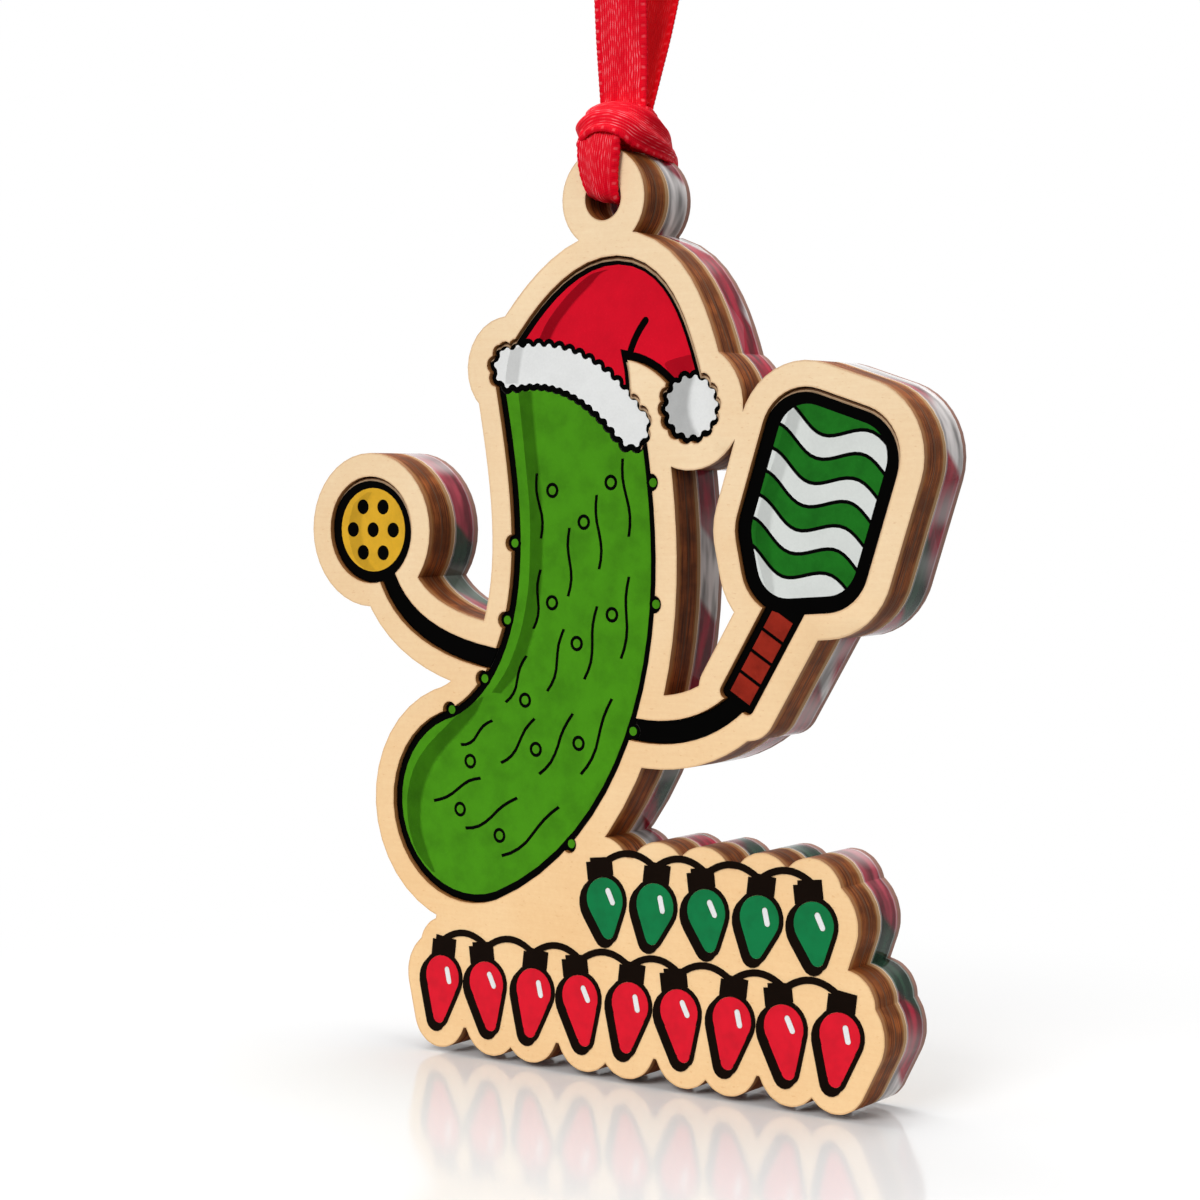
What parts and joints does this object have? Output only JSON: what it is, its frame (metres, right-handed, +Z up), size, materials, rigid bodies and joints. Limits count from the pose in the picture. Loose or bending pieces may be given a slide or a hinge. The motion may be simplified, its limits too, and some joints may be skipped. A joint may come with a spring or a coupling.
{
  "type": "hanging ornament",
  "caption": "Layered wood and acrylic hanging ornament: gherkin in a Santa hat with a ball and a paddle over string lights, on a looped red ribbon.",
  "frame": {"origin": "inside of the ribbon loop at its top, where a hook or twig carries it", "axes": "+Z up, -Y out of the printed front, +X to the right as seen from the front"},
  "size_m": [0.0719, 0.0128, 0.1226],
  "materials": {
    "pale_veneer": "sanded pale hardwood veneer with fine straight grain",
    "dark_core": "plywood core, browned where the beam cut it",
    "clear_adhesive": "clear transfer adhesive",
    "clear_acrylic": "clear cast acrylic with polished cut edges",
    "checked_film": "printed film in red, green and white checks",
    "inlay_plastic": "white acrylic with a glossy face",
    "hat_red": "glossy ink",
    "white_ink": "glossy ink",
    "black_ink": "glossy ink",
    "gherkin_green": "glossy ink with a soft mottle",
    "ball_yellow": "glossy ink",
    "paddle_green": "glossy ink",
    "grip_brown": "glossy ink",
    "light_green": "ink printed on the wood",
    "light_red": "ink printed on the wood",
    "red_ribbon": "woven satin ribbon with looped edges"
  },
  "bodies": {
    "loop": {"ribbon_loop": "red_ribbon"},
    "hitch": {"ribbon_hitch": "red_ribbon"},
    "ornament": {"face_veneer": "pale_veneer", "back_veneer": "pale_veneer", "rear_veneer": "pale_veneer", "crossband_veneer": "pale_veneer", "front_core_ply": "dark_core", "rear_core_ply": "dark_core", "adhesive_sheet": "clear_adhesive", "acrylic_plate": "clear_acrylic", "check_film": "checked_film", "hat_inlay": "inlay_plastic", "gherkin_inlay": "inlay_plastic", "ball_inlay": "inlay_plastic", "paddle_inlay": "inlay_plastic", "hat_red_ink": "hat_red", "hat_brim_ink": "white_ink", "hat_pompom_ink": "white_ink", "paddle_white_ink": "white_ink", "lights_glint_ink": "white_ink", "hat_black_ink": "black_ink", "gherkin_black_ink": "black_ink", "gherkin_marks_ink": "black_ink", "ball_black_ink": "black_ink", "paddle_black_ink": "black_ink", "lights_black_ink": "black_ink", "gherkin_green_ink": "gherkin_green", "ball_yellow_ink": "ball_yellow", "paddle_green_ink": "paddle_green", "paddle_grip_ink": "grip_brown", "green_lights_ink": "light_green", "red_lights_ink": "light_red"}
  },
  "joints": [
    {"name": "ribbon_twist", "type": "hinge", "parent": "loop", "child": "hitch", "pos_m": [0, -0.003, -0.0296], "axis": [0, 0, 1], "range_deg": [-180, 180], "stiffness_Nm_per_rad": 0.00013},
    {"name": "ornament_swing", "type": "hinge", "parent": "hitch", "child": "ornament", "pos_m": [0, -0.003, -0.038], "axis": [0, 1, 0], "range_deg": [-60, 60]}
  ]
}
